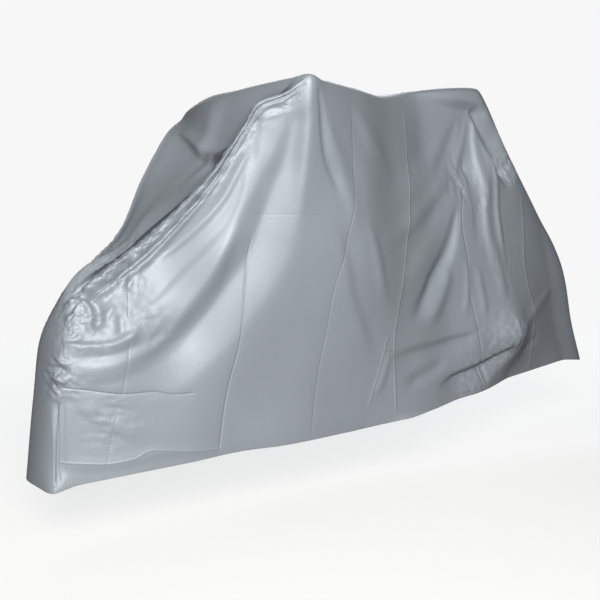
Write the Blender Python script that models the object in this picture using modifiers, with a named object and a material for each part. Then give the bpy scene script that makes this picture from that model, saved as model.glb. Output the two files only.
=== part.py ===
"""Bicycle cover: one thin plastic sheet in the shape in which it hangs.

Units are metres, +Z is up. Tables give x along the cover (front is -X), y as the distance out from the
centre plane and z as the height over the floor. The finished cover is shifted so that the summit of its
top, on the underside of the sheet, is the origin.
"""
from collections import namedtuple

import bmesh
import bpy
import numpy as np

SHEET_THICKNESS = 0.0015
SUMMIT = (0.300, 0.0, 1.0485)          # underside of the top at its highest, above the floor

COLUMNS_PER_GAP = 4                    # mesh columns between two sections
ROWS_PER_GAP = (5, 7, 5, 4)            # crown-ridge, ridge-flank, flank-knee, knee-hem
RAILS = ("crown", "ridge", "flank", "knee", "hem")
RIDGE_ROUNDING = 0.10                  # tangent length where the top turns into the side
SEAM_ROUNDING = 2.4                    # how bluntly front and rear cross the centre plane
FOLD_FADE = 3                          # mesh cells over which folds die out at the ridge and at both ends
FOLD_START = 0.12                      # share of a half wave that is cut off at each end of a fold
FOLD_FULLNESS = 0.7                    # below 1 a fold keeps its height for longer
SATIN_ROUGHNESS = 0.35
SILVER_GREY = (0.32, 0.355, 0.39, 1.0)

# One row per section, a line that falls from the crown in the centre plane to the hem.
# crown: x z | ridge: x y z | flank: x y z | knee: x y z | hem: x y z | slack: 1 soft bend, 0.3 taut corner
Section = namedtuple("Section", "name crown ridge flank knee hem slack")
SECTIONS = [
    Section("prow", (-.766, .602), (-.809, .000, .537), (-.845, .000, .455), (-.869, .000, .330), (-.890, .000, .163), 1.0),
    Section("corner", (-.726, .632), (-.764, .041, .577), (-.832, .090, .450), (-.850, .091, .330), (-.862, .090, .164), 0.5),
    Section("cheek", (-.675, .672), (-.698, .063, .628), (-.740, .118, .465), (-.735, .126, .300), (-.735, .132, .179), 1.0),
    Section("bib", (-.630, .728), (-.625, .087, .690), (-.610, .131, .490), (-.590, .147, .300), (-.590, .151, .186), 1.0),
    Section("face", (-.560, .815), (-.530, .167, .810), (-.500, .180, .540), (-.470, .157, .320), (-.455, .157, .191), 1.0),
    Section("brow", (-.478, .905), (-.445, .222, .945), (-.415, .216, .620), (-.365, .177, .350), (-.345, .172, .190), 0.7),
    Section("horn", (-.385, 1.006), (-.360, .291, 1.006), (-.335, .238, .680), (-.290, .195, .390), (-.270, .179, .192), 0.4),
    Section("valley", (-.200, 1.002), (-.170, .207, 1.008), (-.160, .240, .690), (-.130, .205, .400), (-.120, .191, .199), 0.9),
    Section("waist", (.000, 1.000), (.010, .107, 1.006), (.025, .164, .680), (.050, .180, .390), (.060, .202, .211), 1.0),
    Section("rise", (.145, 1.034), (.150, .049, 1.029), (.175, .117, .670), (.200, .155, .380), (.210, .175, .222), 0.8),
    Section("summit", (.300, 1.050), (.285, .062, 1.044), (.300, .110, .670), (.315, .156, .380), (.325, .161, .227), 1.0),
    Section("tail", (.422, 1.052), (.378, .063, 1.038), (.425, .109, .650), (.455, .146, .385), (.470, .113, .236), 0.5),
    Section("haunch", (.552, .872), (.508, .065, .862), (.545, .095, .600), (.575, .119, .380), (.600, .100, .244), 0.8),
    Section("rump", (.692, .706), (.662, .036, .706), (.690, .062, .530), (.735, .054, .370), (.765, .068, .247), 1.0),
    Section("rear", (.784, .603), (.806, .000, .555), (.834, .000, .480), (.872, .000, .360), (.913, .000, .228), 1.0),
]

# Where the far side differs: one row per moved point of a section, with its move outward in y.
Change = namedtuple("Change", "section rail move")
FAR_CHANGES = [
    Change("corner", "flank", (.020, -.012, .000)),
    Change("corner", "knee", (.040, -.030, .000)),
    Change("corner", "hem", (.045, -.025, -.006)),
    Change("cheek", "knee", (.020, -.015, .000)),
    Change("cheek", "hem", (.025, -.010, -.008)),
    Change("brow", "ridge", (.006, -.012, -.022)),
    Change("horn", "ridge", (.012, -.012, -.036)),
    Change("valley", "knee", (.000, -.020, .010)),
    Change("waist", "knee", (.000, -.025, .010)),
    Change("waist", "hem", (.000, -.015, -.006)),
    Change("haunch", "hem", (.010, .006, -.012)),
    Change("rump", "hem", (.010, .008, -.018)),
]

# One row per fold: a ridge (height > 0) or trough (height < 0) whose path is seen from the side, as x and z.
Fold = namedtuple("Fold", "name path width height")
NEAR_FOLDS = [
    Fold("bunched edge", ((-.44, .94), (-.50, .84), (-.59, .74), (-.70, .62), (-.80, .52)), .022, .010),
    Fold("trough by the edge", ((-.42, .88), (-.50, .76), (-.60, .66), (-.72, .57)), .030, -.010),
    Fold("upper swag", ((-.42, .88), (-.47, .74), (-.56, .61), (-.68, .51), (-.82, .47)), .034, .011),
    Fold("swag trough", ((-.375, .93), (-.405, .80), (-.45, .67), (-.53, .53), (-.64, .44)), .034, -.018),
    Fold("broad swag", ((-.36, .78), (-.39, .62), (-.46, .48), (-.58, .39)), .045, .008),
    Fold("bright pleat", ((-.350, .97), (-.36, .84), (-.38, .72), (-.41, .58)), .026, .006),
    Fold("dark pleat", ((-.34, .97), (-.30, .86), (-.25, .73), (-.19, .58), (-.10, .39)), .028, -.010),
    Fold("rear pleat", ((-.33, .97), (-.28, .84), (-.23, .70)), .022, .008),
    Fold("summit pleat", ((.37, .99), (.36, .84), (.37, .68), (.38, .54)), .030, .008),
    Fold("tail pleat", ((.46, .97), (.47, .80), (.49, .62), (.50, .48)), .030, .008),
    Fold("tail trough", ((.29, .80), (.25, .69), (.20, .61), (.13, .54), (.07, .49)), .028, -.012),
    Fold("haunch trough", ((.44, .40), (.30, .385), (.16, .37), (.05, .36)), .024, -.008),
    Fold("haunch crease", ((.45, .37), (.35, .31), (.25, .265), (.17, .24)), .024, .010),
    Fold("rear edge pleat", ((.48, .98), (.56, .82), (.62, .72)), .022, .007),
    Fold("corner pleat", ((-.83, .38), (-.825, .28), (-.83, .17)), .020, .008),
]
FAR_FOLDS = [
    Fold("bunched edge", ((-.46, .92), (-.53, .80), (-.62, .69), (-.74, .58)), .024, .010),
    Fold("upper swag", ((-.37, .90), (-.43, .70), (-.54, .55), (-.70, .47)), .045, .015),
    Fold("swag trough", ((-.36, .80), (-.40, .62), (-.49, .47), (-.62, .38)), .038, -.013),
    Fold("front pleat", ((-.35, .96), (-.36, .80), (-.37, .62), (-.39, .46)), .030, .012),
    Fold("rear pleat", ((-.33, .96), (-.27, .78), (-.20, .60), (-.14, .42)), .034, .012),
    Fold("valley trough", ((-.12, .90), (-.10, .70), (-.06, .50)), .045, -.012),
    Fold("summit pleat", ((.42, .98), (.34, .80), (.26, .62), (.20, .46)), .036, .013),
    Fold("tail pleat", ((.45, .98), (.46, .78), (.50, .58), (.55, .42)), .032, .012),
    Fold("rear edge pleat", ((.49, .96), (.58, .78), (.66, .64)), .024, .008),
    Fold("hem wave", ((.02, .44), (.06, .30), (.08, .21)), .050, .012),
    Fold("front hem wave", ((-.62, .36), (-.66, .26), (-.67, .18)), .045, .010),
]

# One row per pull: a soft push of the sheet around a point, y positive on the far side here.
Pull = namedtuple("Pull", "name centre reach push")
PULLS = [
    Pull("near horn tip", (-.355, -.290, 1.000), .035, (.000, -.006, .012)),
    Pull("near horn knuckle", (-.435, -.225, .960), .035, (-.010, -.004, .012)),
    Pull("face crease", (-.500, .000, .868), .060, (.016, .000, -.006)),
    Pull("near haunch bulge", (.460, -.123, .385), .052, (.000, -.018, .000)),
    Pull("far haunch bulge", (.460, .123, .385), .052, (.000, .016, .000)),
    Pull("rear hem flare", (.900, .000, .240), .070, (.006, .000, -.004)),
]


def unit(vectors):
    """Vectors scaled to length one, row by row."""
    return vectors / np.maximum(np.linalg.norm(vectors, axis=-1, keepdims=True), 1e-9)


def hermite(start, end, start_tangent, end_tangent, count):
    """Points from start up to, not including, end on a cubic with the given tangents."""
    points = []
    for step in range(count):
        t = step / count
        points.append((2 * t**3 - 3 * t**2 + 1) * start + (t**3 - 2 * t**2 + t) * start_tangent
                      + (3 * t**2 - 2 * t**3) * end + (t**3 - t**2) * end_tangent)
    return points


def rail_keys(rail, changes):
    """The table's points of one rail, with y as a distance out from the centre plane."""
    if rail == "crown":
        return np.array([(section.crown[0], 0.0, section.crown[1]) for section in SECTIONS])
    keys = np.array([getattr(section, rail) for section in SECTIONS])
    names = [section.name for section in SECTIONS]
    for change in changes:
        if change.rail == rail:
            keys[names.index(change.section)] += change.move
    return keys


def fair_rail(rail, keys, stations):
    """A smooth curve through one rail's points; at both ends it leaves the centre plane squarely."""
    last = len(keys) - 1
    slopes = np.zeros_like(keys)
    for i in range(1, last):
        before = (keys[i] - keys[i - 1]) / (stations[i] - stations[i - 1])
        after = (keys[i + 1] - keys[i]) / (stations[i + 1] - stations[i])
        weight = (stations[i] - stations[i - 1]) / (stations[i + 1] - stations[i - 1])
        slopes[i] = (before * (1 - weight) + after * weight) * SECTIONS[i].slack
    slopes[0] = (keys[1] - keys[0]) / (stations[1] - stations[0])
    slopes[last] = (keys[last] - keys[last - 1]) / (stations[last] - stations[last - 1])
    if rail != "crown":
        slopes[0] *= (0.0, SEAM_ROUNDING, 0.0)
        slopes[last] *= (0.0, SEAM_ROUNDING, 0.0)
    points = []
    for i in range(last):
        gap = stations[i + 1] - stations[i]
        points += hermite(keys[i], keys[i + 1], slopes[i] * gap, slopes[i + 1] * gap, COLUMNS_PER_GAP)
    return np.array(points + [keys[last]])


def fair_column(keys, crown_direction):
    """One line of the sheet from crown to hem, smooth through its five points."""
    first = keys[1] - keys[0]
    along = crown_direction * np.dot(first, crown_direction)
    slopes = np.zeros_like(keys)
    slopes[0] = along + np.array((0.0, first[1], 0.0))
    slopes[1] = unit(unit(keys[1] - keys[0]) + unit(keys[2] - keys[1]))
    for j in (2, 3):
        slopes[j] = (keys[j + 1] - keys[j - 1]) / 2
    slopes[4] = keys[4] - keys[3]
    top_turn = slopes[1] * min(RIDGE_ROUNDING, np.linalg.norm(first))
    points = hermite(keys[0], keys[1], slopes[0], top_turn, ROWS_PER_GAP[0])
    slopes[1] *= RIDGE_ROUNDING
    for j in (1, 2, 3):
        points += hermite(keys[j], keys[j + 1], slopes[j], slopes[j + 1], ROWS_PER_GAP[j])
    return np.array(points + [keys[4]])


def smooth_panel(changes=()):
    """The side panel before its folds, as an array [column, row, xyz] with y as distance out."""
    keys = np.stack([rail_keys(rail, changes) for rail in RAILS], axis=1)
    steps = np.linalg.norm(np.diff(keys, axis=0), axis=-1).mean(axis=1)
    stations = np.concatenate(([0.0], np.cumsum(steps)))
    curves = np.stack([fair_rail(rail, keys[:, i], stations) for i, rail in enumerate(RAILS)], axis=1)
    directions = unit(np.gradient(curves[:, 0], axis=0))
    return np.stack([fair_column(curves[i], directions[i]) for i in range(len(curves))])


def outward_normals(panel):
    """Unit normals of a grid of points, pointing away from the inside of the cover."""
    across = np.gradient(panel, axis=0)
    down = np.gradient(panel, axis=1)
    return unit(np.cross(across, down))


def distance_to_path(x, z, path):
    """Distance of side-view points to a fold's path, and how far along it they lie from 0 to 1."""
    nearest = np.full(x.shape, np.inf)
    along = np.zeros(x.shape)
    pieces = len(path) - 1
    for i in range(pieces):
        start, end = np.array(path[i]), np.array(path[i + 1])
        run = end - start
        t = np.clip(((x - start[0]) * run[0] + (z - start[1]) * run[1]) / np.dot(run, run), 0, 1)
        distance = np.hypot(x - start[0] - t * run[0], z - start[1] - t * run[1])
        closer = distance < nearest
        nearest = np.where(closer, distance, nearest)
        along = np.where(closer, (i + t) / pieces, along)
    return nearest, along


def folded(panel, folds, side):
    """The panel put on its side of the centre plane, with that side's folds and pulls."""
    ridge_row = ROWS_PER_GAP[0]
    rows = np.arange(panel.shape[1])
    fade = np.clip((rows - ridge_row + FOLD_FADE - 1) / FOLD_FADE, 0, 1)[None, :]
    edge = np.minimum(np.arange(len(panel)), np.arange(len(panel))[::-1])
    fade = fade * np.clip(edge / FOLD_FADE, 0, 1)[:, None]
    lift = np.zeros(panel.shape[:2])
    for fold in folds:
        distance, along = distance_to_path(panel[..., 0], panel[..., 2], fold.path)
        swell = np.sin(np.pi * (FOLD_START + (1 - 2 * FOLD_START) * along)) ** FOLD_FULLNESS
        lift += fold.height * swell * np.exp(-(distance / fold.width) ** 2)
    normals = outward_normals(panel)
    moved = panel + normals * (lift * fade)[..., None]
    moved[..., 1] *= side
    for pull in PULLS:
        distance = np.linalg.norm(moved - np.array(pull.centre), axis=-1)
        moved += np.exp(-(distance / pull.reach) ** 2)[..., None] * np.array(pull.push)
    on_seam = np.zeros(moved.shape[:2], bool)
    on_seam[:, 0] = on_seam[0] = on_seam[-1] = True
    moved[on_seam, 1] = 0.0
    return moved


def make_material():
    """Soft silver-grey plastic sheet with a satin shine."""
    material = bpy.data.materials.new("silver_plastic_sheet")
    material.use_nodes = True
    shader = material.node_tree.nodes["Principled BSDF"]
    shader.inputs["Base Color"].default_value = SILVER_GREY
    shader.inputs["Roughness"].default_value = SATIN_ROUGHNESS
    shader.inputs["Metallic"].default_value = 0.0
    return material


def build_cover(collection):
    """The whole cover: near and far panels share the points of the centre plane and become one sheet."""
    near = folded(smooth_panel(), NEAR_FOLDS, -1)
    far = folded(smooth_panel(FAR_CHANGES), FAR_FOLDS, 1)
    seam_mean = (near + far) / 2
    columns, rows = near.shape[:2]
    mesh = bmesh.new()
    grids = {}
    for name, points in (("near", near), ("far", far)):
        grid = {}
        for i in range(columns):
            for j in range(rows):
                on_seam = j == 0 or i in (0, columns - 1)
                if on_seam and name == "far":
                    grid[i, j] = grids["near"][i, j]
                else:
                    place = seam_mean[i, j] if on_seam else points[i, j]
                    grid[i, j] = mesh.verts.new(place - np.array(SUMMIT))
        grids[name] = grid
        for i in range(columns - 1):
            for j in range(rows - 1):
                corners = [grid[i, j], grid[i, j + 1], grid[i + 1, j + 1], grid[i + 1, j]]
                mesh.faces.new(corners if name == "near" else corners[::-1])
    mesh.normal_update()
    data = bpy.data.meshes.new("cover")
    mesh.to_mesh(data)
    mesh.free()
    cover = bpy.data.objects.new("cover", data)
    cover.data.materials.append(make_material())
    shell = cover.modifiers.new("sheet", "SOLIDIFY")
    shell.thickness = SHEET_THICKNESS
    shell.offset = -1.0
    collection.objects.link(cover)
    return cover


def main():
    for old in list(bpy.data.objects):
        bpy.data.objects.remove(old, do_unlink=True)
    collection = bpy.data.collections.new("bicycle_cover")
    bpy.context.scene.collection.children.link(collection)
    build_cover(collection)


main()
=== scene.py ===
# Bicycle cover of silver sheet, dressed for a studio picture.
from collections import namedtuple
from math import radians

import bmesh
import bpy
import numpy as np
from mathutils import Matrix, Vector, noise


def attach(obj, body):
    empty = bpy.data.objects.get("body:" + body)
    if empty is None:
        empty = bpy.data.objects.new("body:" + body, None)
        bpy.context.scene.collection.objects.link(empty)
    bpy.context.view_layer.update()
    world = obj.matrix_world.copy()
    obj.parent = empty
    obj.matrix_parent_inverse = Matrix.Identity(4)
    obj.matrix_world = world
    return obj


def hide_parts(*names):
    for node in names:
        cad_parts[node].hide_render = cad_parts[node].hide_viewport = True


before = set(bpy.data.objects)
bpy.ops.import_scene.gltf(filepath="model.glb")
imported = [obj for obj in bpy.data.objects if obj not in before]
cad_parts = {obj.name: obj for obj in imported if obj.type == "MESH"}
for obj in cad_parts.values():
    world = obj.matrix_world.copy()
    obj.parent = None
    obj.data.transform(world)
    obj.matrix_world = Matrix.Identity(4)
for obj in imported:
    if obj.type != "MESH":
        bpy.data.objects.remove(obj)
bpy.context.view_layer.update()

# the frame's origin, in metres from the point on the floor that the sizes of the sheet start at
summit = np.array((0.300, 0.0, 1.0485))
floorHeight = -summit[2]


# Camera and light come first, so that every piece is seen in the same picture.

studio = {
    "cameraPlace": (-1.743, -1.838, -0.2505),   # 0.80 m above the floor, 2.3 m from the middle of the cover
    "cameraTurn": (82.4, 0.0, -34.5),           # degrees; looks 7.6 down, across the left front
    "lens": 52.98,
    "sensorWidth": 36.0,
    "keyPlace": (-2.05, -2.55, 0.55),
    "keySize": 1.3,
    "keyPower": 172.0,
    "keyColour": "#FFFDF8",
    "topPlace": (0.2, 0.3, 3.2),
    "topSize": 3.0,
    "topPower": 5.0,
    "rearPlace": (1.7, 3.1, 0.8),               # lights the far side
    "rearSize": 2.5,
    "rearPower": 160.0,
    "softColour": "#F6FAFF",                    # of the two larger lights
    "lightsAim": (0.0, 0.0, -0.45),
    "skyColour": "#F4F6F8",
    "skyStrength": 0.055,
    "floorRadius": 30.0,
    "floorSides": 96,
    "domeSides": (48, 24),
    "paintColour": "#F7F7F6",
    "paintRoughness": 0.9,
    "paleFrom": 1.0,                            # metres from the middle, between which the floor turns pale
    "paleTo": 3.2,
    "paleLevel": 0.93,                          # the backdrop's even tone
    "paleShare": 0.72,                          # how much of that tone the middle of the floor has
}


def fromHex(code):    # linear RGBA of an sRGB hex colour
    parts = [int(code[i:i + 2], 16) / 255 for i in (1, 3, 5)]
    return [p / 12.92 if p <= 0.04045 else ((p + 0.055) / 1.055) ** 2.4 for p in parts] + [1.0]


# a node of this kind with its settings, its sockets' values and what feeds them
def addNode(tree, kind, settings=None, values=None, links=None):
    node = tree.nodes.new(kind)
    for key, value in (settings or {}).items():
        setattr(node, key, value)
    for key, value in (values or {}).items():
        node.inputs[key].default_value = value
    for key, source in (links or {}).items():
        tree.links.new(source, node.inputs[key])
    return node


def combine(tree, operation, *given):    # what a maths node makes of numbers and other nodes' outputs
    numbers = {place: each for place, each in enumerate(given) if isinstance(each, float)}
    sources = {place: each for place, each in enumerate(given) if place not in numbers}
    return addNode(tree, "ShaderNodeMath", {"operation": operation}, numbers, sources).outputs[0]


def aimedLight(name, place, size, power, colour):
    lamp = bpy.data.lights.new(name, "AREA")
    lamp.size = size
    lamp.energy = power
    lamp.color = fromHex(colour)[:3]
    lampObject = bpy.data.objects.new(name, lamp)
    lampObject.location = place
    towards = Vector(studio["lightsAim"]) - Vector(place)
    lampObject.rotation_euler = towards.to_track_quat("-Z", "Y").to_euler()
    bpy.context.scene.collection.objects.link(lampObject)


def stageObject(name, mesh):
    data = bpy.data.meshes.new(name)
    mesh.to_mesh(data)
    mesh.free()
    data.materials.append(paleMaterial)
    made = bpy.data.objects.new(name, data)
    bpy.context.scene.collection.objects.link(made)
    return made


def palePaint():    # matt white paint that turns into one even pale tone away from the middle
    paint = bpy.data.materials.new("matt white studio paint")
    paint.use_nodes = True
    tree = paint.node_tree
    shader = tree.nodes["Principled BSDF"]
    shader.inputs["Base Color"].default_value = fromHex(studio["paintColour"])
    shader.inputs["Roughness"].default_value = studio["paintRoughness"]
    place = addNode(tree, "ShaderNodeTexCoord").outputs["Object"]
    reach = addNode(tree, "ShaderNodeVectorMath", {"operation": "LENGTH"}, links={0: place})
    ramp = {"From Min": studio["paleFrom"], "From Max": studio["paleTo"], "To Min": studio["paleShare"]}
    share = addNode(tree, "ShaderNodeMapRange", {"interpolation_type": "SMOOTHSTEP"}, ramp,
                    {"Value": reach.outputs["Value"]})
    even = addNode(tree, "ShaderNodeEmission",
                   values={"Color": fromHex("#FFFFFF"), "Strength": studio["paleLevel"]})
    mixed = addNode(tree, "ShaderNodeMixShader",
                    links={0: share.outputs[0], 1: shader.outputs[0], 2: even.outputs[0]})
    tree.links.new(mixed.outputs[0], tree.nodes["Material Output"].inputs["Surface"])
    return paint


def buildStudio():
    scene = bpy.context.scene
    camera = bpy.data.cameras.new("camera")
    camera.lens = studio["lens"]
    camera.sensor_width = studio["sensorWidth"]
    cameraObject = bpy.data.objects.new("camera", camera)
    cameraObject.location = studio["cameraPlace"]
    cameraObject.rotation_euler = [radians(turn) for turn in studio["cameraTurn"]]
    scene.collection.objects.link(cameraObject)
    scene.camera = cameraObject
    aimedLight("keyLight", studio["keyPlace"], studio["keySize"], studio["keyPower"], studio["keyColour"])
    aimedLight("topLight", studio["topPlace"], studio["topSize"], studio["topPower"], studio["softColour"])
    aimedLight("rearLight", studio["rearPlace"], studio["rearSize"], studio["rearPower"],
               studio["softColour"])
    world = bpy.data.worlds.new("paleRoom")
    world.use_nodes = True
    sky = world.node_tree.nodes["Background"]
    sky.inputs["Color"].default_value = fromHex(studio["skyColour"])
    sky.inputs["Strength"].default_value = studio["skyStrength"]
    scene.world = world
    scene.view_settings.view_transform = "Standard"
    radius = studio["floorRadius"]
    floorMesh = bmesh.new()
    bmesh.ops.create_circle(floorMesh, cap_ends=True, segments=studio["floorSides"], radius=radius)
    bmesh.ops.translate(floorMesh, verts=floorMesh.verts, vec=(0.0, 0.0, floorHeight))
    paleFloor = stageObject("paleFloor", floorMesh)
    around, upwards = studio["domeSides"]
    domeMesh = bmesh.new()
    bmesh.ops.create_uvsphere(domeMesh, u_segments=around, v_segments=upwards, radius=radius)
    dome = stageObject("paleBackdrop", domeMesh)
    for ray in ("diffuse", "glossy", "transmission", "volume_scatter", "shadow"):
        setattr(dome, "visible_" + ray, False)     # the backdrop is only seen, the soft lights do the work
    for ray in ("diffuse", "glossy"):
        setattr(paleFloor, "visible_" + ray, False)
    print("studio: camera, three soft lights, floor and backdrop")


paleMaterial = palePaint()
buildStudio()


# The sheet's own sizes.

sectionRow = namedtuple("sectionRow", "name crown ridge flank knee hem slack")
changeRow = namedtuple("changeRow", "section rail move")
foldRow = namedtuple("foldRow", "path ahead behind height crest spread start end")
pullRow = namedtuple("pullRow", "centre reach push")
rollRow = namedtuple("rollRow", "centre width height")

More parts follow.
